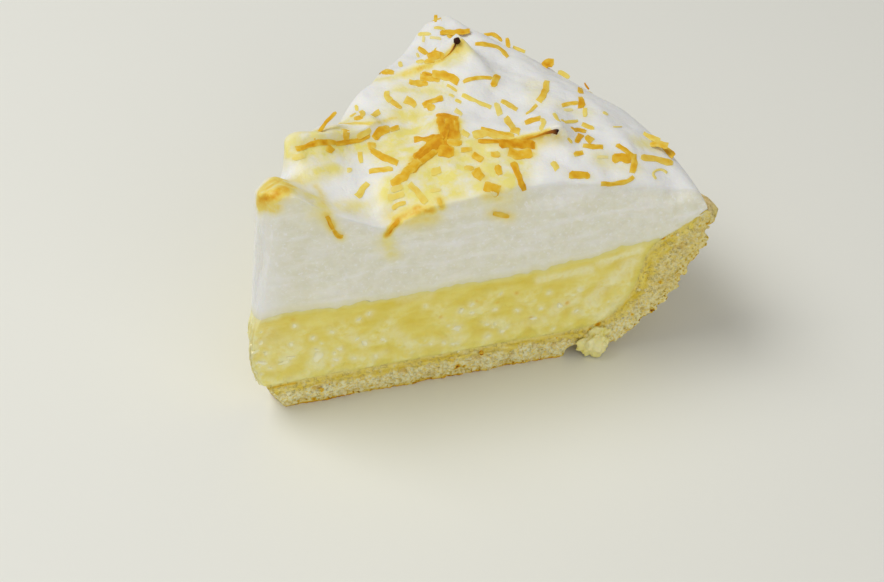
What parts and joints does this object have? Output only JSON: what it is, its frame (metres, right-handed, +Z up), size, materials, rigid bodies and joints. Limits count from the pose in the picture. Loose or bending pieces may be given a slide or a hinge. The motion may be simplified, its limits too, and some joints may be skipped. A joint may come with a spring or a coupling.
{
  "type": "lemon meringue pie slice",
  "caption": "Cut wedge of pie: pale pastry crust, lumpy yellow filling and a tall folded meringue with burnt tips, strewn with toasted coconut-like shreds.",
  "frame": {"origin": "on the flat underside of the crust, on the slice's middle line, 62 mm out from the pie's centre", "axes": "+X from the slice's point to its rim, +Z up from the surface it rests on, +Y to the left looking along +X"},
  "size_m": [0.1195, 0.1043, 0.0686],
  "materials": {
    "pastry": "pale baked short pastry, crumbly and dull",
    "lemon_filling": "moist, slightly translucent, lumpy",
    "meringue": "soft white foam, faintly toasted yellow on its ridges",
    "toasted_coconut": "dry, golden to orange-brown shreds",
    "burnt_meringue": "dark scorched tips",
    "soaked_coconut": "soft cream-white flecks, wet with filling"
  },
  "bodies": {
    "root": {"crust": "pastry", "filling": "lemon_filling", "meringue": "meringue"}
  },
  "joints": []
}
